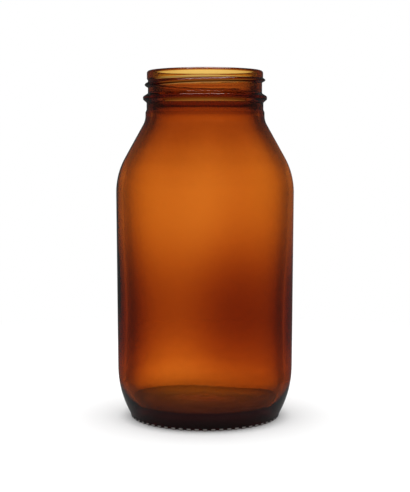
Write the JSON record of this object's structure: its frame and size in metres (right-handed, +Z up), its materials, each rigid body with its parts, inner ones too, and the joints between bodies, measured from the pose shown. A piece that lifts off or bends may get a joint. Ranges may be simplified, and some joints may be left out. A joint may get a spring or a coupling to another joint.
{
  "type": "apothecary jar",
  "caption": "Round amber glass apothecary jar with a wide screw-thread mouth, a transfer bead, a sloping shoulder and a grooved standing ring, for dry or liquid pharmacy stock.",
  "frame": {"origin": "middle of the ring that the jar stands on, on its axis", "axes": "+Z up along the jar's axis to the mouth; -Y faces the viewer of the picture and +X is to the viewer's right, which places the ends of the thread"},
  "size_m": [0.0774, 0.0774, 0.151],
  "materials": {
    "amber_glass": "clear fire-polished amber glass"
  },
  "bodies": {
    "root": {"glass_jar": "amber_glass"}
  },
  "joints": []
}
